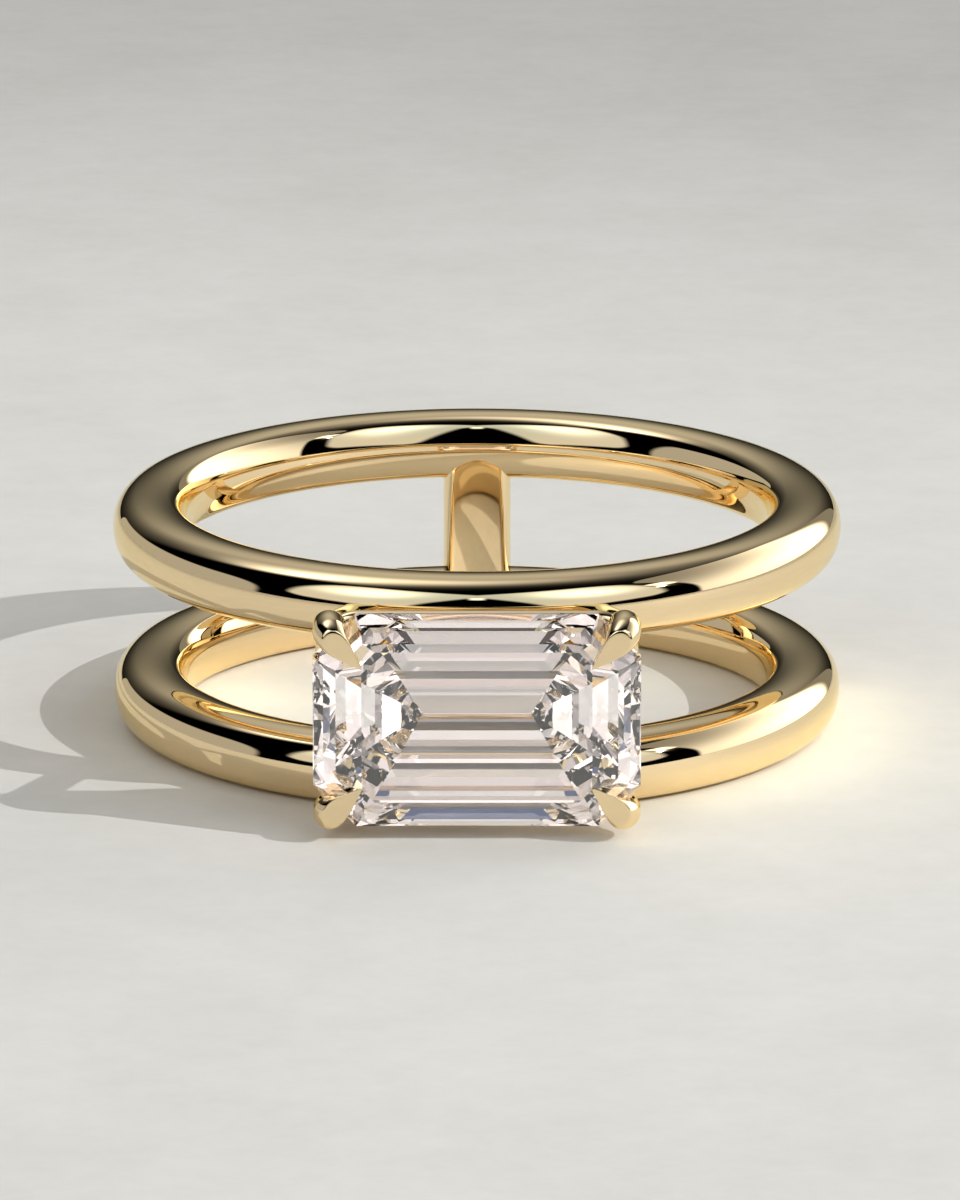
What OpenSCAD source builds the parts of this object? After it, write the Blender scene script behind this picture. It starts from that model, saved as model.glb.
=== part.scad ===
// Solitaire engagement ring: two plain gold bands, one above the other, joined at the
// back by an upright bar and at the front by a four-claw setting with a step-cut stone.
// Millimetres. The ring lies on its side: Z is the finger's axis, the origin is its
// middle, halfway between the bands, and the stone faces -Y.

/* [Bands] */
// Radius of the finger hole
finger_r = 8.05; // [8:0.05:8.1]
// Thickness of each band, from the finger hole outwards
band_t = 1.98; // [1.9:0.01:2.05]
// Width of each band along the finger
band_w = 1.9; // [1.85:0.01:2]
// Distance between the middles of the two bands
band_pitch = 4.61; // [4.55:0.01:4.7]
// Radius of the comfort dome inside each band
comfort_r = 1.45; // [1.4:0.01:1.5]

/* [Back bar] */
// Width of the upright bar at the back, round the finger
bar_w = 1.91; // [1.7:0.01:2]
// How far the bar's inner face stands back from the finger hole
bar_setback = 0.03; // [0.02:0.005:0.05]
// Thickness of the bar
bar_t = 1.82; // [1.75:0.01:1.85]

/* [Stone] */
// Length of the stone, across the finger
stone_l = 8.72; // [8.65:0.01:8.75]
// Width of the stone, along the finger
stone_w = 5.84; // [5.8:0.01:5.86]
// Cut taken off each corner
stone_corner = 1.14; // [1.08:0.01:1.18]
// Distance from the finger's axis to the middle of the stone's girdle
stone_reach = 11.85; // [11.82:0.01:11.9]
// Thickness of the girdle
girdle_t = 0.12; // [0.1:0.01:0.14]
// Height of the crown, from the girdle to the table
crown_h = 0.74; // [0.72:0.01:0.76]
// Depth of the pavilion, from the girdle to the keel
pavilion_d = 2.71; // [2.65:0.01:2.75]

/* [Claws and rail] */
// Radius of the round end of a claw
claw_r = 0.45; // [0.435:0.005:0.46]
// Radius of a claw's point
claw_tip_r = 0.05; // [0.05:0.01:0.07]
// Radius of a claw's post where it leaves the band
post_r = 0.31; // [0.29:0.01:0.33]
// Thickness of the gallery rail's wire
rail_d = 0.47; // [0.43:0.01:0.49]
// How far the rail's outside lies within the stone's outline
rail_inset = 0.06; // [0.05:0.01:0.08]
// Gap left between the stone and its seat
seat_gap = 0.04; // [0.03:0.005:0.05]

/* [Hidden] */

$fn = 96;
// Facets of the finger hole and of all that turns about the finger's axis
ring_fn = 200;
// Half-width of the true cylinder left inside each band
land = 0.15;

// Angles, from each face's middle, at which the wide arcs of a band's outline end
inner_span = 25;
outer_span = 16;
side_span = 14;
// Radius of the dome outside each band
outer_dome_r = 1.27;

// The same for the upright bar, whose faces are flatter
bar_inner_span = 9;
bar_outer_span = 9;
bar_inner_r = 4;
bar_outer_r = 4;

// Places of one claw, on the +X +Z side: the round end, the point on the stone's crown, and
// the foot of its post in the band
table_y = -stone_reach - girdle_t / 2 - crown_h;
claw_end = [3.86, -12.12, 2.44];
claw_point = [3.11, table_y - 0.06, 1.70];
post_foot = [3.25, -9.1, 2.30];

// Outer corner radius of the gallery rail, and how far its front lies behind the girdle
rail_corner = 1.13;
rail_behind = 0.32;

// The stone's outlines from the table back to the last step before the keel. Columns:
// where it lies (crown height above, or pavilion depth below the girdle, as a share),
// inset from the girdle's outline lengthways and widthways, and the corner's cut.
CROWN = [
    [1.00, 1.30, 0.85, 0.36],
    [0.84, 0.61, 0.65, 0.72],
    [0.44, 0.28, 0.28, 1.00],
    [0.00, 0.00, 0.00, stone_corner]
];
PAVILION = [
    [0.00, 0.00, 0.00, stone_corner],
    [0.28, 0.59, 0.59, 0.91],
    [0.67, 1.65, 1.65, 0.52]
];

// Corner radius that brings a wide arc of radius r and span s out to half the width w,
// where the side face is an arc of radius side
function corner_r(w, r, s, side) =
    (w / 2 - r * sin(s) - side * (1 - cos(side_span))) / (cos(side_span) - sin(s));

// Thickness of the outline whose side faces are arcs of radius r
function outline_t(w, r, inner_r, inner_s, outer_r, outer_s) =
    let (
        ci = corner_r(w, inner_r, inner_s, r),
        co = corner_r(w, outer_r, outer_s, r)
    )
    inner_r * (1 - cos(inner_s)) + ci * (cos(inner_s) - sin(side_span))
    + 2 * r * sin(side_span) + co * (cos(outer_s) - sin(side_span))
    + outer_r * (1 - cos(outer_s));

// Radius of the side faces that gives the thickness t: the thickness grows evenly with it
function side_r(w, t, inner_r, inner_s, outer_r, outer_s) =
    let (
        t0 = outline_t(w, 0, inner_r, inner_s, outer_r, outer_s),
        t1 = outline_t(w, 1, inner_r, inner_s, outer_r, outer_s)
    )
    (t - t0) / (t1 - t0);

// Step made by an arc of radius r while its normal turns from angle a to b
function sweep(r, a, b) = r * [cos(a) - cos(b), sin(b) - sin(a)];

// Points of that arc in n steps, begun at p
function arc(p, r, a, b, n) = [for (i = [1 : n]) p + sweep(r, a, a + (b - a) * i / n)];

// The whole outline: inner face at x, thickness t, width w. Angles are those of the
// surface normal, from 0 on the inner face to 180 on the outer one.
function soft_outline(x, w, t, inner_r, inner_s, outer_r, outer_s) =
    let (
        side = side_r(w, t, inner_r, inner_s, outer_r, outer_s),
        ci = corner_r(w, inner_r, inner_s, side),
        co = corner_r(w, outer_r, outer_s, side),
        up = 90 - side_span,
        down = 90 + side_span,
        p1 = [x, 0] + sweep(inner_r, 0, inner_s),
        p2 = p1 + sweep(ci, inner_s, up),
        p3 = p2 + sweep(side, up, down),
        p4 = p3 + sweep(co, down, 180 - outer_s),
        half = concat(
            arc([x, 0], inner_r, 0, inner_s, 4),
            arc(p1, ci, inner_s, up, 8),
            arc(p2, side, up, down, 6),
            arc(p3, co, down, 180 - outer_s, 8),
            arc(p4, outer_r, 180 - outer_s, 180, 4)
        ),
        n = len(half)
    )
    concat(half, [for (i = [n - 2 : -1 : 0]) [half[i][0], -half[i][1]]]);

// A band's outline, with the short true cylinder on its inner face
module band_outline() {
    points = soft_outline(finger_r, band_w, band_t,
                          comfort_r, inner_span, outer_dome_r, outer_span);
    polygon(concat(
        [[finger_r, -land], [finger_r, land]],
        [for (p = points) if (abs(p[1]) > land + 0.05 || p[0] > finger_r + 0.5) p]
    ));
}

// One plain band, its middle at height z
module band(z) {
    translate([0, 0, z])
        rotate_extrude($fn = ring_fn)
            band_outline();
}

// The upright bar at the back, its ends sunk to the middles of the two bands
module back_bar() {
    translate([0, 0, -band_pitch / 2])
        linear_extrude(band_pitch)
            rotate(90)
                polygon(soft_outline(finger_r + bar_setback, bar_w, bar_t,
                                     bar_inner_r, bar_inner_span, bar_outer_r, bar_outer_span));
}

// Turns +Z to point from a to b, with its foot on a
module along(a, b) {
    d = b - a;
    translate(a)
        rotate([0, acos(d[2] / norm(d)), atan2(d[1], d[0])])
            children();
}

// Round end and tapering point of a claw: a ball, the cone that touches it, a small tip
function claw_outline(reach) =
    let (lean = asin((claw_r - claw_tip_r) / reach))
    concat(
        [for (i = [0 : 14]) let (a = -90 + i * (90 + lean) / 14) claw_r * [cos(a), sin(a)]],
        [for (i = [0 : 4]) let (a = lean + i * (90 - lean) / 4)
            [claw_tip_r * cos(a), reach + claw_tip_r * sin(a)]]
    );

module claw() {
    reach = norm(claw_point - claw_end);
    along(claw_end, claw_point)
        rotate_extrude($fn = 64)
            polygon([for (p = claw_outline(reach)) [max(0, p[0]), p[1]]]);
}

// The post that carries a claw, from inside the band out to the claw's round end
module claw_post() {
    along(post_foot, claw_end)
        cylinder(h = norm(claw_end - post_foot), r1 = post_r, r2 = claw_r - 0.05, $fn = 64);
}

// The four corners of the setting
module at_corners() {
    for (sx = [0, 1], sz = [0, 1])
        mirror([sx, 0, 0])
            mirror([0, 0, sz])
                children();
}

// The wire frame that ties the posts together under the stone's edge
module gallery_rail() {
    r = rail_d / 2;
    bend = rail_corner - r;
    l = stone_l / 2 - rail_inset - rail_corner;
    w = stone_w / 2 - rail_inset - rail_corner;
    translate([0, rail_behind + r - stone_reach, 0]) {
        for (z = [-1, 1])
            translate([-l, 0, z * (w + bend)])
                rotate([0, 90, 0])
                    cylinder(h = 2 * l, r = r, $fn = 48);
        for (x = [-1, 1])
            translate([x * (l + bend), 0, -w])
                cylinder(h = 2 * w, r = r, $fn = 48);
        at_corners()
            translate([l, 0, w])
                rotate([90, 0, 0])
                    rotate_extrude(angle = 90)
                        translate([bend, 0])
                            circle(r = r, $fn = 48);
    }
}

// Eight points of one of the stone's outlines, at y
function stone_ring(y, inset_l, inset_w, cut, grow) =
    let (
        hl = stone_l / 2 - inset_l + grow,
        hw = stone_w / 2 - inset_w + grow
    )
    [
        [hl, y, hw - cut], [hl - cut, y, hw], [cut - hl, y, hw], [-hl, y, hw - cut],
        [-hl, y, cut - hw], [cut - hl, y, -hw], [hl - cut, y, -hw], [hl, y, cut - hw]
    ];

// The step-cut stone, grown outwards by grow where it serves as the seat's cutter
module step_cut(grow) {
    front = -stone_reach - girdle_t / 2;
    back = -stone_reach + girdle_t / 2;
    rings = [
        for (s = CROWN) stone_ring(front - s[0] * (crown_h + grow), s[1], s[2], s[3], grow),
        for (s = PAVILION) stone_ring(back + s[0] * (pavilion_d + grow), s[1], s[2], s[3], grow)
    ];
    n = len(rings);
    keel_half = (stone_l - stone_w) / 2;
    keel_y = back + pavilion_d + grow;
    keel_right = 8 * n;
    keel_left = keel_right + 1;
    last = 8 * (n - 1);
    points = concat(
        [for (ring = rings) for (p = ring) p],
        [[keel_half, keel_y, 0], [-keel_half, keel_y, 0]]
    );
    table = [[for (i = [7 : -1 : 0]) i]];
    steps = [
        for (k = [0 : n - 2], i = [0 : 7])
            [8 * k + i, 8 * k + (i + 1) % 8, 8 * (k + 1) + (i + 1) % 8, 8 * (k + 1) + i]
    ];
    long_sides = [
        [last + 1, last + 2, keel_left, keel_right],
        [last + 5, last + 6, keel_right, keel_left]
    ];
    ends = [
        for (i = [2 : 4]) [last + i, last + i + 1, keel_left],
        for (i = [6 : 8]) [last + i % 8, last + (i + 1) % 8, keel_right]
    ];
    polyhedron(points, concat(table, steps, long_sides, ends), convexity = 2);
}

// All the gold: bands, bar, posts, claws and rail, soldered into one piece
module ring_mount() {
    color([0.9, 0.75, 0.42])
        union() {
            band(band_pitch / 2);
            band(-band_pitch / 2);
            back_bar();
            difference() {
                union() {
                    gallery_rail();
                    at_corners() {
                        claw();
                        claw_post();
                    }
                }
                step_cut(seat_gap);
            }
        }
}

module emerald_cut_stone() {
    color([0.93, 0.95, 0.98])
        step_cut(0);
}

ring_mount();
emerald_cut_stone();
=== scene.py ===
# %% [markdown]
# # A two-band solitaire ring
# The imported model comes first: it is the fixed frame that everything here is fitted to.
# Its two parts are the gold mount and the step-cut stone. The gold is replaced by finely
# built pieces, because a mirror polish shows every facet of a coarse surface, and the
# stone stays as it is, because its facets are flat on the real one too.

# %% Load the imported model
import math

import bmesh
import bpy
from mathutils import Matrix, Vector


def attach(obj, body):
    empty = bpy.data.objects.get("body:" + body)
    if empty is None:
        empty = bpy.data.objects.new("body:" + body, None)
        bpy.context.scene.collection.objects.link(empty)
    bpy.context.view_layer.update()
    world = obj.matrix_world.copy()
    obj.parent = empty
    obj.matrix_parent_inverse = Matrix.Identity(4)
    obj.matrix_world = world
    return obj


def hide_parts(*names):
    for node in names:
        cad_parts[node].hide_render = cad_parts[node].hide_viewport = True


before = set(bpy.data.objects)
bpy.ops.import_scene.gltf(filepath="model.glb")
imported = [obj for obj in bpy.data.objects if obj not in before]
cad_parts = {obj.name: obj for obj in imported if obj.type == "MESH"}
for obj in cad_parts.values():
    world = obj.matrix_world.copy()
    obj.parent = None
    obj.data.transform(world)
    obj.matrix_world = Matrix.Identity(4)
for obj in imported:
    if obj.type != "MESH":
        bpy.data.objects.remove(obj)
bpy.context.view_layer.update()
MM = 0.001
FLOOR_Z = -3.255 * MM
print("packed parts:", sorted(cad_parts))

# %% [markdown]
# The camera stands in front of the stone and looks down at the ring by 15 degrees. It is
# a long lens from 30 cm away, as for jewellery: the two bands look nearly the same size.
# The ring sits a tenth of a millimetre off the middle of the picture, as in the photo.

# %% Camera
LOOK_DOWN = math.radians(15.1)
DISTANCE = 300 * MM
SHIFT_RIGHT, SHIFT_UP = 0.083 * MM, 0.097 * MM
view_dir = Vector((0, math.cos(LOOK_DOWN), -math.sin(LOOK_DOWN)))
view_up = Vector((0, math.sin(LOOK_DOWN), math.cos(LOOK_DOWN)))
camera = bpy.data.objects.new("camera", bpy.data.cameras.new("camera"))
bpy.context.scene.collection.objects.link(camera)
camera.location = -DISTANCE * view_dir + Vector((SHIFT_RIGHT, 0, 0)) + SHIFT_UP * view_up
camera.rotation_euler = (math.pi / 2 - LOOK_DOWN, 0, 0)
camera.data.sensor_fit = "VERTICAL"
camera.data.sensor_height = 36
camera.data.lens = 325.8
camera.data.clip_start = 0.005
camera.data.clip_end = 100
bpy.context.scene.camera = camera
print("camera at", [round(v / MM, 1) for v in camera.location], "mm")

# %% [markdown]
# Small helpers. The first adds a node to a tree with its settings and its links, and the
# next three are short forms of it for arithmetic, for a range and for a blend of colours.
# The others turn a colour as a paint program writes it into the linear values that Blender
# wants, set the stops of a colour ramp, start a material, and put a piece in the scene.


# %% Helpers
def add(tree, kind, settings=None, **inputs):
    """Adds a node. An input is a value, or the socket that feeds it."""
    node = tree.nodes.new(kind)
    for name, value in (settings or {}).items():
        setattr(node, name, value)
    for name, value in inputs.items():
        number = name[1:]
        socket = node.inputs[int(number) if number.isdigit() else name.replace("_", " ")]
        if isinstance(value, bpy.types.NodeSocket):
            tree.links.new(value, socket)
        else:
            socket.default_value = value
    return node


def maths(tree, operation, *values):
    """One step of arithmetic."""
    return add(tree, "ShaderNodeMath", {"operation": operation},
               **{"_" + str(i): value for i, value in enumerate(values)}).outputs[0]


def spread(tree, value, start, end, low=0.0, high=1.0, kind="SMOOTHSTEP"):
    """Goes from low to high while the value goes from start to end, and stays there."""
    return add(tree, "ShaderNodeMapRange", {"interpolation_type": kind}, Value=value,
               From_Min=start, From_Max=end, To_Min=low, To_Max=high).outputs[0]


def blend(tree, share, one, two, kind="MIX"):
    """Two colours in one."""
    return add(tree, "ShaderNodeMix", {"data_type": "RGBA", "blend_type": kind}, Factor=share,
               _6=one, _7=two).outputs[2]


def linear(hex_colour):
    """An sRGB hex colour such as "E8C983" as linear red, green, blue and alpha."""
    parts = [int(hex_colour[i:i + 2], 16) / 255 for i in (0, 2, 4)]
    return [c / 12.92 if c <= 0.04045 else ((c + 0.055) / 1.055) ** 2.4 for c in parts] + [1]


def set_stops(ramp, stops):
    """Gives a colour ramp node its stops: a position and a linear colour each."""
    elements = ramp.color_ramp.elements
    while len(elements) < len(stops):
        elements.new(0.5)
    for element, (position, colour) in zip(elements, stops):
        element.position, element.color = position, colour


def new_material(name):
    """A material, its tree, its shader and the place on the object."""
    material = bpy.data.materials.new(name)
    material.use_nodes = True
    tree = material.node_tree
    place = add(tree, "ShaderNodeTexCoord").outputs["Object"]
    return material, tree, tree.nodes["Principled BSDF"], place


def piece_from(name, data):
    """A new object at the origin that holds the mesh or the lamp."""
    obj = bpy.data.objects.new(name, data)
    bpy.context.scene.collection.objects.link(obj)
    return obj


# %% [markdown]
# ## Gold
# Pale yellow gold with a mirror polish. Two things keep it from looking like a computer's
# mirror. The polish is a little duller in soft patches, where the buffing wheel passed
# less often, and the surface is very slightly wavy, because it was buffed by hand. Seen at
# a slant it keeps more of its yellow than a pure white sheen would.

# %% Polished gold
gold, tree, shader, place = new_material("polished pale yellow gold")
shader.inputs["Base Color"].default_value = linear("F9E0B4")
shader.inputs["Metallic"].default_value = 1
shader.inputs["Specular Tint"].default_value = (1, 0.97, 0.8, 1)
patches = add(tree, "ShaderNodeTexNoise", Vector=place, Scale=700.0, Detail=3.0)
polish_level = spread(tree, patches.outputs[0], 0.35, 0.7, 0.018, 0.045, "LINEAR")
tree.links.new(polish_level, shader.inputs["Roughness"])
waves = add(tree, "ShaderNodeTexNoise", Vector=place, Scale=350.0, Detail=1.0)
wavy = add(tree, "ShaderNodeBump", Height=waves.outputs[0], Strength=0.25, Distance=0.00001)
tree.links.new(wavy.outputs[0], shader.inputs["Normal"])

# %% [markdown]
# ## Outlines
# Sizes are in millimetres, and MM turns them into Blender's metres. A band's outline is a
# row of arcs that meet smoothly: a slight dome inside for comfort, a small inner corner, a
# nearly flat side, a rounder outer corner and a domed outside. An arc is laid down by the
# turn of its normal, so the corners have no kink, and a mirror polish shows none.


# %% The soft outline
def soft_outline(x, width, thickness, inner, outer, side_turn=14):
    """Points of a closed outline. inner and outer are a dome's radius and half its turn."""
    def rad(a):
        return math.radians(a)

    def corner(dome, side):
        across = width / 2 - dome[0] * math.sin(rad(dome[1]))
        across -= side * (1 - math.cos(rad(side_turn)))
        return across / (math.cos(rad(side_turn)) - math.sin(rad(dome[1])))

    def reach(side):
        total = 2 * side * math.sin(rad(side_turn))
        for dome in (inner, outer):
            total += dome[0] * (1 - math.cos(rad(dome[1])))
            total += corner(dome, side) * (math.cos(rad(dome[1])) - math.sin(rad(side_turn)))
        return total

    side = (thickness - reach(0)) / (reach(1) - reach(0))
    arcs = [
        (inner[0], 0, inner[1], 12),
        (corner(inner, side), inner[1], 90 - side_turn, 20),
        (side, 90 - side_turn, 90 + side_turn, 16),
        (corner(outer, side), 90 + side_turn, 180 - outer[1], 20),
        (outer[0], 180 - outer[1], 180, 12),
    ]
    half = [(x, 0.0)]
    for radius, start, end, steps in arcs:
        px, pz = half[-1]
        for i in range(1, steps + 1):
            a = rad(start + (end - start) * i / steps)
            half.append((px + radius * (math.cos(rad(start)) - math.cos(a)),
                         pz + radius * (math.sin(a) - math.sin(rad(start)))))
    return half + [(px, -pz) for px, pz in reversed(half[1:-1])]


FINGER_R, BAND_W, BAND_T = 8.05, 1.90, 1.98
BAR_SETBACK, BAR_W, BAR_T = 0.03, 1.91, 1.82
band_outline = soft_outline(FINGER_R, BAND_W, BAND_T, inner=(1.45, 25), outer=(1.27, 16))
bar_outline = soft_outline(FINGER_R + BAR_SETBACK, BAR_W, BAR_T, inner=(4.0, 9),
                           outer=(4.0, 9))
print("band outline:", len(band_outline), "points, bar outline:", len(bar_outline))

# %% [markdown]
# ## Bands
# Both bands are one outline swept round the finger. Geometry Nodes suit that: the outline
# is the object's own mesh, a circle is the path, and the swept band is placed twice.


# %% Sweep tree
def read_mesh(obj):
    """Turns an object with a node modifier into one with a plain mesh."""
    bpy.context.view_layer.update()
    shaped = obj.evaluated_get(bpy.context.evaluated_depsgraph_get())
    mesh = bpy.data.meshes.new_from_object(shaped)
    obj.modifiers.clear()
    old = obj.data
    obj.data = mesh
    bpy.data.meshes.remove(old)
    return obj


def give(obj, tree, **values):
    """Adds the tree as a modifier and sets its named inputs."""
    modifier = obj.modifiers.new(tree.name, "NODES")
    modifier.node_group = tree
    for item in tree.interface.items_tree:
        name = item.name.replace(" ", "_")
        if item.item_type == "SOCKET" and item.in_out == "INPUT" and name in values:
            modifier[item.identifier] = values[name]
    return obj


def add_inputs(tree, sockets):
    """Gives a tree its named inputs."""
    for socket, kind in sockets.items():
        tree.interface.new_socket(socket.replace("_", " "), in_out="INPUT",
                                  socket_type="NodeSocket" + kind)


def new_tree(name, **sockets):
    """A geometry tree with named inputs; returns it with its input and output nodes."""
    tree = bpy.data.node_groups.new(name, "GeometryNodeTree")
    tree.interface.new_socket("Geometry", in_out="INPUT", socket_type="NodeSocketGeometry")
    add_inputs(tree, sockets)
    tree.interface.new_socket("Geometry", in_out="OUTPUT", socket_type="NodeSocketGeometry")
    return tree, tree.nodes.new("NodeGroupInput"), tree.nodes.new("NodeGroupOutput")


def finish_tree(tree, out, geometry, material):
    """Ends a tree: smooth shading, real copies, the material."""
    smooth = add(tree, "GeometryNodeSetShadeSmooth", Geometry=geometry)
    real = add(tree, "GeometryNodeRealizeInstances", Geometry=smooth.outputs[0])
    painted = add(tree, "GeometryNodeSetMaterial", Geometry=real.outputs[0], Material=material)
    tree.links.new(painted.outputs[0], out.inputs[0])


band_tree, come, go = new_tree("bands", Path_radius="Float", Steps_round="Int",
                               Band_spacing="Float", Material="Material")
section = add(band_tree, "GeometryNodeMeshToCurve", Mesh=come.outputs["Geometry"])
path = add(band_tree, "GeometryNodeCurvePrimitiveCircle",
           Resolution=come.outputs["Steps round"], Radius=come.outputs["Path radius"])
swept = add(band_tree, "GeometryNodeCurveToMesh", Curve=path.outputs[0],
            Profile_Curve=section.outputs[0])
half = maths(band_tree, "MULTIPLY", come.outputs["Band spacing"], -0.5)
low = add(band_tree, "ShaderNodeCombineXYZ", Z=half)
step = add(band_tree, "ShaderNodeCombineXYZ", Z=come.outputs["Band spacing"])
places = add(band_tree, "GeometryNodeMeshLine", Count=2, Start_Location=low.outputs[0],
             Offset=step.outputs[0])
copies = add(band_tree, "GeometryNodeInstanceOnPoints", Points=places.outputs[0],
             Instance=swept.outputs[0])
finish_tree(band_tree, go, copies.outputs[0], come.outputs["Material"])

# %% Bands
PITCH = 4.61 * MM
PATH_R = 9.0
mesh = bpy.data.meshes.new("bands")
n = len(band_outline)
# The sweep lays the outline's X along the path's radius, so it is drawn from the path
mesh.from_pydata([((x - PATH_R) * MM, z * MM, 0) for x, z in band_outline],
                 [(i, (i + 1) % n) for i in range(n)], [])
bands = give(piece_from("bands", mesh), band_tree, Path_radius=PATH_R * MM, Steps_round=300,
             Band_spacing=PITCH, Material=gold)
read_mesh(bands)
radii = [round(v.co.xy.length / MM, 3) for v in bands.data.vertices]
print("bands:", len(bands.data.polygons), "faces, radii", min(radii), "to", max(radii), "mm")

# %% [markdown]
# ## Back bar
# The upright bar is one outline pushed straight up from band to band. Its ends are sunk
# in the bands, so a plain mesh of two rings of points is enough.

# %% Back bar
levels = [-PITCH / 2, PITCH / 2]
points = [(z * MM, x * MM, level) for level in levels for x, z in bar_outline]
n = len(bar_outline)
sides = [(i, (i + 1) % n, n + (i + 1) % n, n + i) for i in range(n)]
mesh = bpy.data.meshes.new("back_bar")
mesh.from_pydata(points, [], sides + [tuple(range(n)), tuple(range(2 * n - 1, n - 1, -1))])
back_bar = piece_from("back_bar", mesh)


def polish(obj, sharp=None):
    """Outward faces, smooth shading (sharp where faces meet at more than that angle), gold."""
    shape = bmesh.new()
    shape.from_mesh(obj.data)
    bmesh.ops.remove_doubles(shape, verts=shape.verts, dist=1e-7)
    bmesh.ops.recalc_face_normals(shape, faces=shape.faces)
    shape.to_mesh(obj.data)
    shape.free()
    obj.data.shade_smooth()
    if sharp:
        obj.data.set_sharp_from_angle(angle=math.radians(sharp))
    obj.data.materials.clear()
    obj.data.materials.append(gold)


SHARP = 40
polish(back_bar, SHARP)
polish(bands)
print("back bar:", len(back_bar.data.polygons), "faces")

# %% [markdown]
# ## The setting
# The stone's edge lies 11.85 mm from the finger's middle. Behind it runs a wire frame with
# round corners, the gallery rail. At each corner a post comes out of a band and carries a
# claw: a thick round wire, bent over the stone's cut corner and filed to a long flat point.

# %% Setting sizes
STONE_Y = -11.85
STONE_L, STONE_W, STONE_CORNER = 8.72, 5.84, 1.13
RAIL_INSET, RAIL_BEHIND, WIRE = 0.06, 0.32, 0.235
CLAW_END = Vector((3.918, -11.70, 2.524))
CLAW_BEND = Vector((3.968, -12.85, 2.501))
CLAW_POINT = Vector((3.107, -12.76, 1.694))
CLAW_R, CLAW_TIP_R, POST_R, POST_FLARE = 0.45, 0.05, 0.31, 0.05
POST_FOOT = Vector((3.29, -9.1, 2.18))
FILE_EDGE, FILE_DEPTH = 0.02, 0.005
FILE_SLOPE_X, FILE_SLOPE_Z = 0.012, 0.055
SEAT_GAP = 0.04

# %% Gallery rail
rail_tree, come, go = new_tree("gallery rail", Length="Float", Width="Float", Corner_radius="Float",
                               Wire_radius="Float", Material="Material")
loop = add(rail_tree, "GeometryNodeCurvePrimitiveQuadrilateral",
           Width=come.outputs["Length"], Height=come.outputs["Width"])
rounded = add(rail_tree, "GeometryNodeFilletCurve", {"mode": "POLY"}, Curve=loop.outputs[0],
              Radius=come.outputs["Corner radius"], Count=24)
wire = add(rail_tree, "GeometryNodeCurvePrimitiveCircle", Resolution=40,
           Radius=come.outputs["Wire radius"])
swept = add(rail_tree, "GeometryNodeCurveToMesh", Curve=rounded.outputs[0],
            Profile_Curve=wire.outputs[0])
finish_tree(rail_tree, go, swept.outputs[0], come.outputs["Material"])

rail = give(piece_from("gallery_rail", bpy.data.meshes.new("gallery_rail")), rail_tree,
            Length=(STONE_L - 2 * RAIL_INSET - 2 * WIRE) * MM,
            Width=(STONE_W - 2 * RAIL_INSET - 2 * WIRE) * MM,
            Corner_radius=(STONE_CORNER - WIRE) * MM, Wire_radius=WIRE * MM, Material=gold)
read_mesh(rail)
rail.data.transform(Matrix.Translation((0, (STONE_Y + RAIL_BEHIND + WIRE) * MM, 0))
                    @ Matrix.Rotation(math.pi / 2, 4, "X"))
polish(rail)
print("rail:", len(rail.data.polygons), "faces")

# %% [markdown]
# A claw and its post are drawn once, at one corner, as round wires whose thickness changes
# along a path. The claw's path bends over the stone's edge, as the jeweller presses it
# down. Its front is then filed flat, nearly level with the stone's table: whatever stands
# in front of the filed plane is moved back to it, and the file leaves a tight round edge.
# Geometry Nodes then mirror both wires to the other three corners.


# %% Wires that taper
def taper_wire(path, radii, steps=64, filed=None):
    """A closed round wire with rounded ends, along a path of points in mm.

    filed is a function of x and z: how far forward (in y) the wire may stand there.
    """
    last = len(path) - 1
    ways = [(path[min(i + 1, last)] - path[max(i - 1, 0)]).normalized() for i in range(last + 1)]
    caps = [math.radians(a) for a in range(8, 88, 8)]
    rings = [(path[0] - ways[0] * radii[0] * math.cos(a), ways[0], radii[0] * math.sin(a))
             for a in caps]
    rings += list(zip(path, ways, radii))
    rings += [(path[-1] + ways[-1] * radii[-1] * math.cos(a), ways[-1], radii[-1] * math.sin(a))
              for a in reversed(caps)]
    turns = [2 * math.pi * i / steps for i in range(steps)]
    shape = bmesh.new()
    rows = []
    for middle, way, radius in rings:
        one = way.cross(Vector((1, 0, -1))).normalized()
        two = way.cross(one)
        spokes = [radius * (math.cos(t) * one + math.sin(t) * two) for t in turns]
        rows.append([shape.verts.new((middle + spoke) * MM) for spoke in spokes])
    for near, far in zip(rows, rows[1:]):
        for i in range(steps):
            shape.faces.new((near[i], near[(i + 1) % steps], far[(i + 1) % steps], far[i]))
    shape.faces.new(rows[0])
    shape.faces.new(reversed(rows[-1]))
    for v in shape.verts if filed else []:
        x, y, z = v.co / MM
        past = (y - filed(x, z)) / FILE_EDGE
        v.co.y = (filed(x, z) + FILE_EDGE * math.log1p(math.exp(past))) * MM
    mesh = bpy.data.meshes.new("wire")
    shape.to_mesh(mesh)
    shape.free()
    return mesh


corner_tree, come, go = new_tree("four corners", Pattern="Object", Material="Material")
mirror = add(corner_tree, "GeometryNodeInputNamedAttribute", {"data_type": "FLOAT_VECTOR"},
             Name="mirror")
pattern = add(corner_tree, "GeometryNodeObjectInfo", Object=come.outputs["Pattern"])
laid = add(corner_tree, "GeometryNodeInstanceOnPoints", Points=come.outputs["Geometry"],
           Instance=pattern.outputs["Geometry"], Scale=mirror.outputs[0])
finish_tree(corner_tree, go, laid.outputs[0], come.outputs["Material"])


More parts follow.
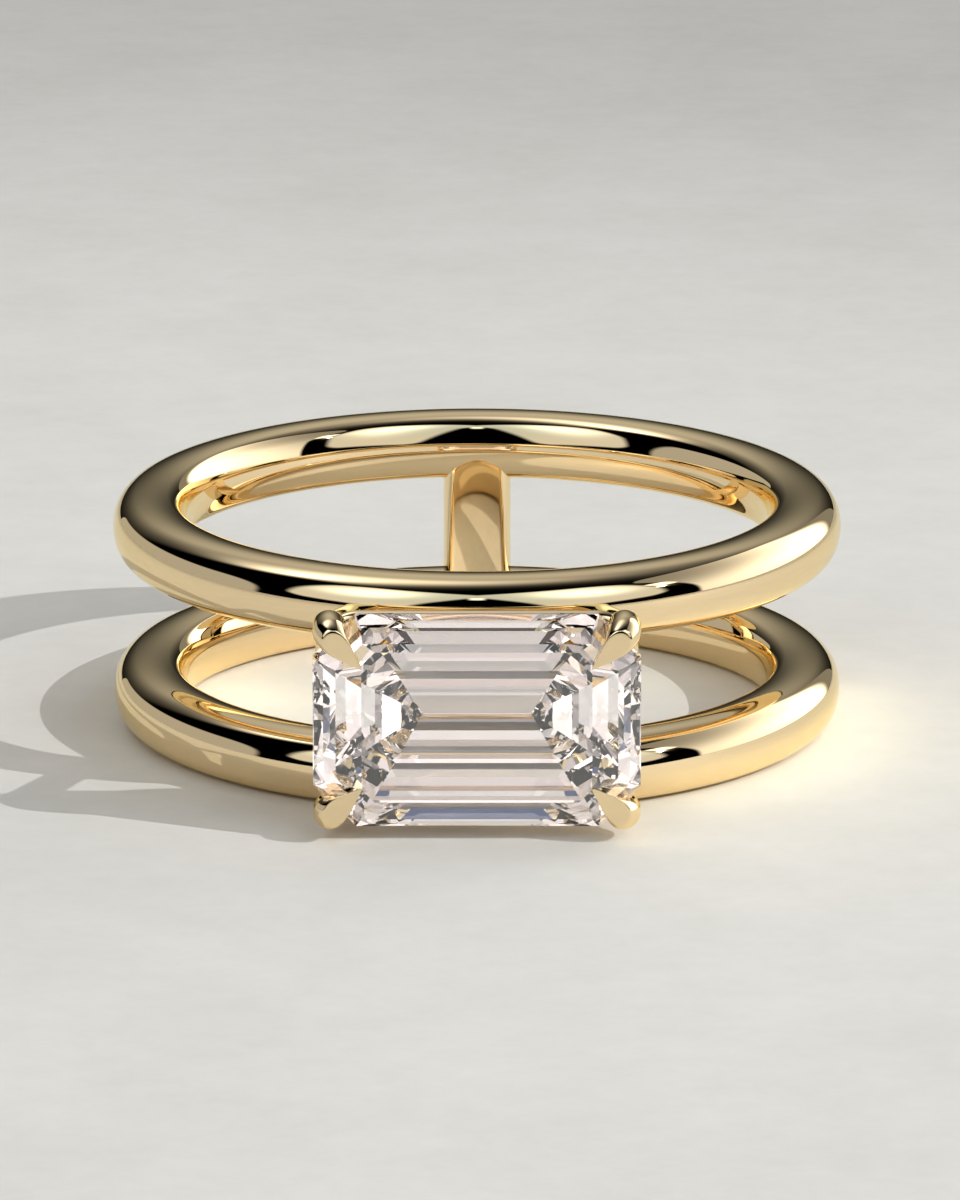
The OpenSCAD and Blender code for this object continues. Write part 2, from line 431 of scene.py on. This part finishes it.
def lay_on_corners(name, path, radii, **more):
    """The tapering wire at the four corners."""
    pattern = piece_from(name + "_pattern", taper_wire(path, radii, **more))
    corners = [(1, 1), (-1, 1), (-1, -1), (1, -1)]
    mesh = bpy.data.meshes.new(name)
    mesh.from_pydata([(0, 0, 0)] * len(corners), [], [])
    mirrors = mesh.attributes.new("mirror", "FLOAT_VECTOR", "POINT")
    for point, (x, z) in zip(mirrors.data, corners):
        point.vector = (x, 1, z)
    obj = read_mesh(give(piece_from(name, mesh), corner_tree, Pattern=pattern, Material=gold))
    bpy.data.objects.remove(pattern)
    return obj


# %% Claws and posts
TAPER = 1.09
CLAW_STEPS, POST_STEPS = 80, 8
claw_path, claw_radii = [], []
for i in range(CLAW_STEPS + 1):
    t = i / CLAW_STEPS
    middle = (1 - t) ** 2 * CLAW_END + 2 * (1 - t) * t * CLAW_BEND + t * t * CLAW_POINT
    out = (middle - CLAW_POINT).xz.dot(Vector((0.7071, 0.7071)))
    claw_path.append(middle)
    claw_radii.append(min(CLAW_R, CLAW_TIP_R + (CLAW_R - CLAW_TIP_R) * out / TAPER))


def filed_front(x, z):
    """The y of the filed plane, which slopes a little from the table's plane."""
    return (CLAW_POINT.y - FILE_DEPTH + FILE_SLOPE_X * (x - CLAW_POINT.x)
            + FILE_SLOPE_Z * (z - CLAW_POINT.z))


claws = lay_on_corners("claws", claw_path, claw_radii, steps=112, filed=filed_front)
along = [i / POST_STEPS for i in range(POST_STEPS + 1)]
posts = lay_on_corners("posts", [POST_FOOT.lerp(CLAW_END, t) for t in along],
                       [POST_R + POST_FLARE * t for t in along])

# %% [markdown]
# The jeweller cuts a seat for the stone in the claws and in the rail. The same cut is made
# here with the stone's own shape, a few hundredths of a millimetre larger all round.

# %% Seat
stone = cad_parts["emerald_cut_stone"]
cutter = piece_from("seat_cutter", stone.data.copy())
shape = bmesh.new()
shape.from_mesh(cutter.data)
bmesh.ops.remove_doubles(shape, verts=shape.verts, dist=1e-7)
low, high = [[f(v.co[k] for v in shape.verts) for k in range(3)] for f in (min, max)]
middle = Vector([(a + b) / 2 for a, b in zip(low, high)])
for v in shape.verts:
    for k in range(3):
        v.co[k] = middle[k] + (v.co[k] - middle[k]) * (1 + 2 * SEAT_GAP * MM / (high[k] - low[k]))
shape.to_mesh(cutter.data)
shape.free()
for obj in (claws, rail):
    cut = obj.modifiers.new("seat", "BOOLEAN")
    cut.object = cutter
    cut.operation = "DIFFERENCE"
    cut.solver = "EXACT"
    read_mesh(obj)
bpy.data.objects.remove(cutter)
for obj in (claws, posts, rail):
    polish(obj, SHARP)
print("claws:", len(claws.data.polygons), "faces, posts:", len(posts.data.polygons),
      "faces, rail:", len(rail.data.polygons), "faces")

# %% [markdown]
# ## The stone
# Diamond: clear, with a high refractive index, 2.417. A real one is never quite evenly
# white, so a wide noise moves the body colour between white and a faint warm blush.

# %% Diamond
diamond, tree, shader, place = new_material("polished diamond")
shader.inputs["Roughness"].default_value = 0
shader.inputs["IOR"].default_value = 2.417
shader.inputs["Transmission Weight"].default_value = 1
zones = add(tree, "ShaderNodeTexNoise", Vector=place, Scale=260.0, Detail=2.0)
blush = add(tree, "ShaderNodeValToRGB", Fac=zones.outputs[0])
set_stops(blush, [(0.3, linear("FFFDFC")), (0.7, linear("FFF9F7"))])
tree.links.new(blush.outputs[0], shader.inputs["Base Color"])
for slot in stone.material_slots:
    slot.material = diamond

# %% [markdown]
# ## Floor
# The ring lies on a pale, finely mottled plaster board. Two sizes of noise make it: wide
# soft clouds of a slightly darker tone, and a fine grain that also lifts the surface a
# little, so that it never looks like plain paint.

# %% Plaster floor
mesh = bpy.data.meshes.new("floor")
REACH = 3.0
corners = [(-REACH, -REACH), (REACH, -REACH), (REACH, REACH), (-REACH, REACH)]
mesh.from_pydata([(x, y, FLOOR_Z) for x, y in corners], [], [(0, 1, 2, 3)])
floor = piece_from("floor", mesh)
plaster, tree, shader, place = new_material("smooth pale plaster")
shader.inputs["Roughness"].default_value = 0.75
clouds = add(tree, "ShaderNodeTexNoise", Vector=place, Scale=160.0, Detail=8.0, Roughness=0.66)
grain = add(tree, "ShaderNodeTexNoise", Vector=place, Scale=1100.0, Detail=5.0, Roughness=0.65)
both = maths(tree, "MULTIPLY_ADD", grain.outputs[0], 0.5, clouds.outputs[0])
tone = add(tree, "ShaderNodeValToRGB", Fac=both)
set_stops(tone, [(0.5, linear("DCDBD5")), (1.0, linear("E7E5E0"))])
lifted = add(tree, "ShaderNodeBump", Height=grain.outputs[0], Strength=0.15, Distance=0.00002)
tree.links.new(lifted.outputs[0], shader.inputs["Normal"])

# %% [markdown]
# The stone shows the board in thin strips, and they differ more than the board itself,
# because shade and light are painted on the board for the rays that come through the stone:
# a painted shade close in front, where the setting stands over it, and far in front, and a
# painted glow under the ring and at both sides, where the lamps' light gathers.

# %% The board as the stone shows it, with painted shade and painted glow
# Only rays that come through the stone see the painted shade and the painted glow
through_stone = add(tree, "ShaderNodeLightPath").outputs["Is Transmission Ray"]
spot = add(tree, "ShaderNodeSeparateXYZ", Vector=place).outputs
RAMP_REACH = 60
ahead = spread(tree, spot["Y"], -RAMP_REACH * MM, 0.0, kind="LINEAR")
painted_shade_strips = add(tree, "ShaderNodeValToRGB", Fac=ahead)
painted_shade_strips.color_ramp.interpolation = "EASE"
# Painted shade: the share of the board's tone that the stone sees, by distance in front
painted_shade_stops = [(-43, 0.15), (-32, 1.0), (-17, 1.0), (-15, 0.6), (-13.5, 0.5), (-11.5, 1.0)]
set_stops(painted_shade_strips, [(1 + y / RAMP_REACH, (share, share, share, 1)) for y, share in painted_shade_stops])
tone_with_painted_shade = blend(tree, through_stone, tone.outputs[0], painted_shade_strips.outputs[0], "MULTIPLY")
# Painted glow: the board gives off light at both sides and under the ring, seen only through the
# stone
painted_side_glow = spread(tree, maths(tree, "ABSOLUTE", spot["X"]), 4.5 * MM, 8 * MM, 0.15, 0.7)
painted_under_glow = spread(tree, spot["Y"], -13 * MM, -11.5 * MM, 0.0, 0.2)
painted_glow = maths(tree, "MULTIPLY", through_stone, maths(tree, "ADD", painted_side_glow, painted_under_glow))
tree.links.new(tone_with_painted_shade, shader.inputs["Base Color"])
tree.links.new(painted_glow, shader.inputs["Emission Strength"])
shader.inputs["Emission Color"].default_value = linear("FFEFEA")
mesh.materials.append(plaster)

# %% [markdown]
# ## Studio
# Polished metal shows nothing but the room, so the room is most of the picture. It is
# drawn in the world's shader from two kinds of lamp, each far away. A glow is a soft patch
# of light that fades out, such as a wall lit by a spotlight. A soft box is a flat frame
# with an even front, a soft edge and round corners, and it hides what is behind it.
# Directions are given as a compass angle (0 behind the ring, 90 at the right, 180 at the
# camera) and a height above the floor, both in degrees.


# %% Directions
def toward(turn, height):
    turn, height = math.radians(turn), math.radians(height)
    level = math.cos(height)
    return Vector((level * math.sin(turn), level * math.cos(turn), math.sin(height)))


def axes(turn, height, roll=0):
    """Where a lamp stands, and the directions across and up its front."""
    across, up = toward(turn + 90, 0), toward(turn, height + 90)
    c, s = math.cos(math.radians(roll)), math.sin(math.radians(roll))
    return {"Facing": toward(turn, height), "Across": c * across + s * up,
            "Up": c * up - s * across}


def new_lamp(name, **sockets):
    """A shader group with named inputs and one output, and the direction looked in."""
    tree = bpy.data.node_groups.new(name, "ShaderNodeTree")
    add_inputs(tree, sockets)
    tree.interface.new_socket("Light", in_out="OUTPUT", socket_type="NodeSocketFloat")
    return (tree, tree.nodes.new("NodeGroupInput"), tree.nodes.new("NodeGroupOutput"),
            add(tree, "ShaderNodeTexCoord").outputs["Generated"])


def dot(tree, one, two):
    """How far one vector reaches along the other."""
    return add(tree, "ShaderNodeVectorMath", {"operation": "DOT_PRODUCT"},
               _0=one, _1=two).outputs["Value"]


def length(tree, x, y):
    """The square root of x squared plus y squared."""
    return maths(tree, "SQRT", maths(tree, "MULTIPLY_ADD", x, x, maths(tree, "MULTIPLY", y, y)))


# %% A glow
glow_tree, come, go, look = new_lamp("glow", Facing="Vector", Across="Vector", Up="Vector",
                                     Width="Float", Height="Float", Brightness="Float",
                                     Steepness="Float")
off = add(glow_tree, "ShaderNodeVectorMath", {"operation": "SUBTRACT"}, _0=look,
          _1=come.outputs["Facing"]).outputs[0]
x, y = [maths(glow_tree, "DIVIDE", dot(glow_tree, off, come.outputs[axis]), come.outputs[size])
        for axis, size in (("Across", "Width"), ("Up", "Height"))]
fade = maths(glow_tree, "POWER", length(glow_tree, x, y), come.outputs["Steepness"])
lit = maths(glow_tree, "EXPONENT", maths(glow_tree, "MULTIPLY", fade, -1.0))
glow_tree.links.new(maths(glow_tree, "MULTIPLY", lit, come.outputs["Brightness"]), go.inputs[0])

# %% A soft box
box_tree, come, go, look = new_lamp("soft box", Facing="Vector", Across="Vector", Up="Vector",
                                    Middle_x="Float", Middle_y="Float", Half_width="Float",
                                    Half_height="Float", Corner="Float", Edge="Float",
                                    Own="Float", Behind="Float")
ahead = maths(box_tree, "MAXIMUM", dot(box_tree, look, come.outputs["Facing"]), 0.001)
outside = []
for axis, middle, half in (("Across", "Middle x", "Half width"), ("Up", "Middle y", "Half height")):
    on_front = maths(box_tree, "DIVIDE", dot(box_tree, look, come.outputs[axis]), ahead)
    away = maths(box_tree, "ABSOLUTE", maths(box_tree, "SUBTRACT", on_front, come.outputs[middle]))
    past = maths(box_tree, "SUBTRACT", away, come.outputs[half])
    past = maths(box_tree, "ADD", past, come.outputs["Corner"])
    outside.append(maths(box_tree, "MAXIMUM", past, 0.0))
gap = maths(box_tree, "SUBTRACT", length(box_tree, *outside), come.outputs["Corner"])
inner_edge = maths(box_tree, "MULTIPLY", come.outputs["Edge"], -1.0)
inside = spread(box_tree, gap, inner_edge, come.outputs["Edge"], 1.0, 0.0)
more = maths(box_tree, "SUBTRACT", come.outputs["Own"], come.outputs["Behind"])
shown = maths(box_tree, "MULTIPLY_ADD", more, inside, come.outputs["Behind"])
box_tree.links.new(shown, go.inputs[0])

# %% [markdown]
# The room, from the back to the front: a wall washed with light from the upper left, a low
# grey card at the left, a large white screen at the right that a lamp makes brightest low
# down, and two soft boxes over the camera with a dark gap between them. One small lamp
# hangs in the gap and one at the right.

# %% The room
world = bpy.data.worlds.new("studio")
bpy.context.scene.world = world
world.use_nodes = True
tree = world.node_tree
look = add(tree, "ShaderNodeTexCoord").outputs["Generated"]


def glow(turn, height, width, tall, brightness, steepness=2.0):
    """width and tall run from its middle to where two thirds of the light are gone."""
    lamp = add(tree, "ShaderNodeGroup", {"node_tree": glow_tree}, Width=width, Height=tall,
               Brightness=brightness, Steepness=steepness, **axes(turn, height))
    return lamp.outputs[0]


def cut_off(light, turn, height, at, soft):
    """Ends a light along a straight line, with a soft edge."""
    side_of = dot(tree, look, toward(turn, height))
    return maths(tree, "MULTIPLY", light, spread(tree, side_of, at - soft, at + soft))


def soft_box(behind, own, turn, height, x, y, corner, edge, roll=0):
    """x and y are where the frame's sides are, as tangents seen from the ring."""
    lamp = add(tree, "ShaderNodeGroup", {"node_tree": box_tree},
               Middle_x=(x[0] + x[1]) / 2, Half_width=(x[1] - x[0]) / 2,
               Middle_y=(y[0] + y[1]) / 2, Half_height=(y[1] - y[0]) / 2,
               Corner=corner, Edge=edge, Own=own, Behind=behind, **axes(turn, height, roll))
    return lamp.outputs[0]


wall = maths(tree, "ADD", glow(-59.4, 62, 0.172, 0.172, 1.7), glow(-27.8, 62.3, 0.314, 0.26, 1.32))
wall = maths(tree, "ADD", wall, glow(-1.2, 32.2, 0.377, 0.278, 0.52))
wall = cut_off(wall, 55, 19.3, -0.05, 0.078)
room = maths(tree, "ADD", wall, glow(30, 62, 0.3, 0.25, 0.06))
room = soft_box(room, 0.47, -100, 0, (-0.13, 3.4), (-0.5, 0.45), 0.35, 0.03)
screen = cut_off(glow(29, 13.6, 0.989, 0.46, 2.37, 2.66), 123, 18.4, 0.05, 0.06)
screen = maths(tree, "ADD", screen, 0.25)
room = soft_box(room, screen, 90, 0, (-2.6, 0.29), (-1, 1.77), 0.4, 0.02)
for left in (1, -1):
    front = maths(tree, "ADD", glow(left * 139, 45, 0.23, 0.29, 1.3, 2.77), 0.78)
    across = sorted((left * -0.42, left * 0.38))
    room = soft_box(room, front, left * 145, 38, across, (-0.62, 0.47), 0.15, 0.04, roll=-13 * left)
room = soft_box(room, 1.7, 180, 40, (-0.035, 0.035), (-0.08, 0.08), 0.02, 0.02)
room = soft_box(room, 2.0, 109.5, 40, (-0.06, 0.06), (-0.08, 0.08), 0.03, 0.02)
print("studio:", len(tree.nodes), "nodes")

# %% [markdown]
# The camera itself sees a plain pale backdrop where the floor ends, and the lamps only
# show in what they light. What leaves through the stone meets the same room, a little
# brighter and warmer all round but overhead and behind the camera. Four strips of light
# are stacked over the camera, and a low strip of blue gives the stone its cool bands. The
# gold sees the light of the two front boxes a little cooler than the rest.

# %% Backdrop
ray = add(tree, "ShaderNodeLightPath").outputs
BACKDROP, ALL_ROUND, BLUE_STRIP = 0.52, 0.26, 0.34
change = maths(tree, "SUBTRACT", BACKDROP, room)
plain = maths(tree, "MULTIPLY_ADD", change, ray["Is Camera Ray"], room)
strip = maths(tree, "MULTIPLY", glow(180, 3, 0.5, 0.05, 1.0, 4.0), ray["Is Transmission Ray"])
all_round = maths(tree, "SUBTRACT", 1.0, glow(0, 90, 0.3, 0.3, 1.0, 4.0))
all_round = maths(tree, "SUBTRACT", all_round, glow(180, 8, 0.5, 0.3, 1.0, 4.0))
all_round = maths(tree, "MULTIPLY", all_round, ALL_ROUND)
over_camera = [(14.3, 0.4, 0.026, 0.75), (34, 0.4, 0.08, 0.2), (65, 0.4, 0.09, 0.9),
               (89, 0.06, 0.06, 1.4)]
for height, across, tall, light in over_camera:
    all_round = maths(tree, "ADD", all_round, glow(180, height, across, tall, light, 6.0))
all_round = maths(tree, "MULTIPLY_ADD", strip, BLUE_STRIP, all_round)
strength = maths(tree, "MULTIPLY_ADD", all_round, ray["Is Transmission Ray"], plain)
# Sharp refraction counts as a glossy ray too, so it is taken off
on_metal = maths(tree, "SUBTRACT", ray["Is Glossy Ray"], ray["Is Transmission Ray"])
cool = maths(tree, "MULTIPLY", glow(180, 45, 0.8, 0.5, 1.0, 4.0), on_metal)
tint = blend(tree, ray["Is Transmission Ray"], linear("FFFFFF"), linear("FFF3EF"))
tint = blend(tree, strip, tint, linear("7F9CE0"))
tint = blend(tree, cool, tint, linear("E4F5FF"))
tree.links.new(strength, tree.nodes["Background"].inputs["Strength"])
tree.links.new(tint, tree.nodes["Background"].inputs["Color"])

# %% [markdown]
# One small spotlight from the right gives the crisp shadows. Its cone is wide and soft, so
# the floor dims gently away from the ring.

# %% Key light
KEY_TURN, KEY_HEIGHT, KEY_AWAY = 113.9, 33.4, 1.0
lamp = bpy.data.lights.new("key", "SPOT")
key = piece_from("key", lamp)
aim = Vector((0.012, -0.012, FLOOR_Z))
key.location = aim + toward(KEY_TURN, KEY_HEIGHT) * KEY_AWAY
key.rotation_euler = (aim - key.location).to_track_quat("-Z", "Y").to_euler()
lamp.energy = 24
lamp.spot_size = math.radians(11.0)
lamp.spot_blend = 1
lamp.shadow_soft_size = 0.0035

# %% [markdown]
# Polished gold throws some of the key light back on the floor: a warm rim of light round
# the right of the lower band, and patches inside the band, most of all at the left. Small
# warm lamps close to the floor stand for it. They light the floor alone, and the bands
# shade them.

# %% Warm light thrown by the gold
only_floor = bpy.data.collections.new("floor alone")
only_floor.objects.link(floor)
THROWN_WATTS, THROWN_SOFTNESS, RIM_R = 0.9e-5, 0.3, 11.0
rim = [math.radians(a) for a in range(12, -66, -13)]
# Each lamp's x, y and height over the floor in millimetres, and its power
around = [(RIM_R * math.cos(a), RIM_R * math.sin(a), 1.7, 3.0) for a in rim]
pools = [(13.5, -5.5, 6.0, 6.0), (9.0, -13.0, 5.0, 3.0), (-6.3, 1.8, 2.2, 9.0),
         (-4.6, -1.0, 2.5, 5.5), (5.2, -12.6, 1.2, 0.5), (4.6, 3.2, 1.5, 1.2),
         (0.0, -3.5, 3.0, 3.0)]
for x, y, height, power in around + pools:
    lamp = bpy.data.lights.new("thrown light", "POINT")
    lamp.color = (1.0, 0.96, 0.66)
    lamp.energy = power * THROWN_WATTS
    lamp.shadow_soft_size = THROWN_SOFTNESS * height * MM
    thrown = piece_from("thrown light", lamp)
    thrown.location = (x * MM, y * MM, FLOOR_Z + height * MM)
    thrown.light_linking.receiver_collection = only_floor

# %% Settings
bpy.context.scene.cycles.max_bounces = 24
bpy.context.scene.cycles.transmission_bounces = 18
bpy.context.scene.cycles.glossy_bounces = 12
bpy.context.scene.cycles.blur_glossy = 0.35
bpy.context.scene.cycles.sample_clamp_indirect = 0
bpy.context.scene.view_settings.view_transform = "Standard"

# %% Hand over
for piece in (bands, back_bar, rail, claws, posts):
    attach(piece, "root")
    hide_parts("ring_mount")
